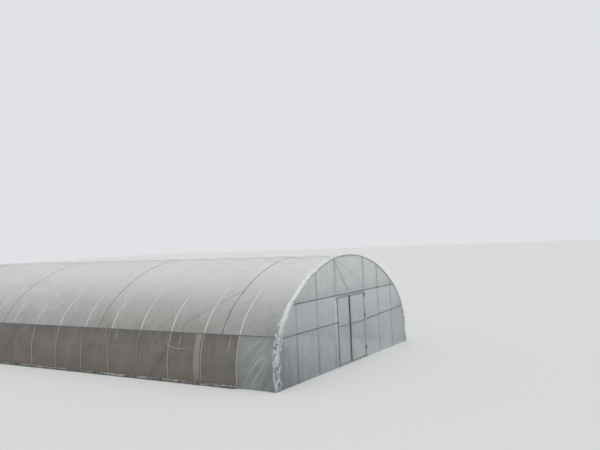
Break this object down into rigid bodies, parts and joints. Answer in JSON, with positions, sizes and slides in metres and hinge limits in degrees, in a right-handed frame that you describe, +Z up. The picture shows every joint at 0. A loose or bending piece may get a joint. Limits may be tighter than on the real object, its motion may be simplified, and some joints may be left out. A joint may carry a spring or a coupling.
{
  "type": "polytunnel greenhouse",
  "caption": "Film-covered tunnel greenhouse of steel hoops with net sides, strapped roof film and a double door of film-covered frames in one gable.",
  "frame": {"origin": "centre of the footprint, on the ground", "axes": "+X across the tunnel, +Y along it, away from the gable with the doors, +Z up"},
  "size_m": [8.2212, 18.1492, 3.2244],
  "materials": {
    "galvanised_pipe": "dull zinc coat",
    "door_steel": "dark grey, weathered",
    "hinge_steel": "dark, weathered",
    "clamp_channel": "dull zinc coat, dusty",
    "roof_film": "milky, translucent, dusty low down",
    "gable_film": "milky, translucent, wrinkled",
    "surplus_film": "crumpled white film",
    "side_net": "fine insect net, grey brown",
    "strap": "dark grey woven band"
  },
  "bodies": {
    "tunnel": {"hoops": "galvanised_pipe", "front_arch": "galvanised_pipe", "back_arch": "galvanised_pipe", "ridge_purlin": "galvanised_pipe", "wind_braces": "galvanised_pipe", "front_posts": "galvanised_pipe", "back_posts": "galvanised_pipe", "front_lintel_pipe": "galvanised_pipe", "back_lintel_pipe": "galvanised_pipe", "gable_brace": "galvanised_pipe", "door_posts": "door_steel", "door_head": "door_steel", "post_hinges": "hinge_steel", "left_clamp_channel": "clamp_channel", "right_clamp_channel": "clamp_channel", "front_lintel_channel": "clamp_channel", "front_low_channels": "clamp_channel", "back_channels": "clamp_channel", "front_arch_channel": "clamp_channel", "back_arch_channel": "clamp_channel", "left_eave_film": "roof_film", "left_roof_film": "roof_film", "ridge_film": "roof_film", "right_roof_film": "roof_film", "right_eave_film": "roof_film", "left_end_films": "gable_film", "right_end_films": "gable_film", "front_upper_film": "gable_film", "front_left_films": "gable_film", "front_right_films": "gable_film", "back_upper_film": "gable_film", "back_lower_films": "gable_film", "front_hems": "surplus_film", "back_hems": "surplus_film", "left_curtain_roll": "surplus_film", "right_curtain_roll": "surplus_film", "left_net": "side_net", "right_net": "side_net", "hold_down_straps": "strap"},
    "left_leaf": {"left_leaf_frame": "door_steel", "left_leaf_film": "gable_film", "left_leaf_hinges": "hinge_steel"},
    "right_leaf": {"right_leaf_frame": "door_steel", "right_leaf_film": "gable_film", "right_leaf_hinges": "hinge_steel"}
  },
  "joints": [
    {"name": "left_leaf_hinge", "type": "hinge", "parent": "tunnel", "child": "left_leaf", "pos_m": [-0.7625, -9.0233, 1], "axis": [0, 0, -1], "range_deg": [0, 110]},
    {"name": "right_leaf_hinge", "type": "hinge", "parent": "tunnel", "child": "right_leaf", "pos_m": [0.9825, -9.0233, 1], "axis": [0, 0, 1], "range_deg": [0, 110]}
  ]
}
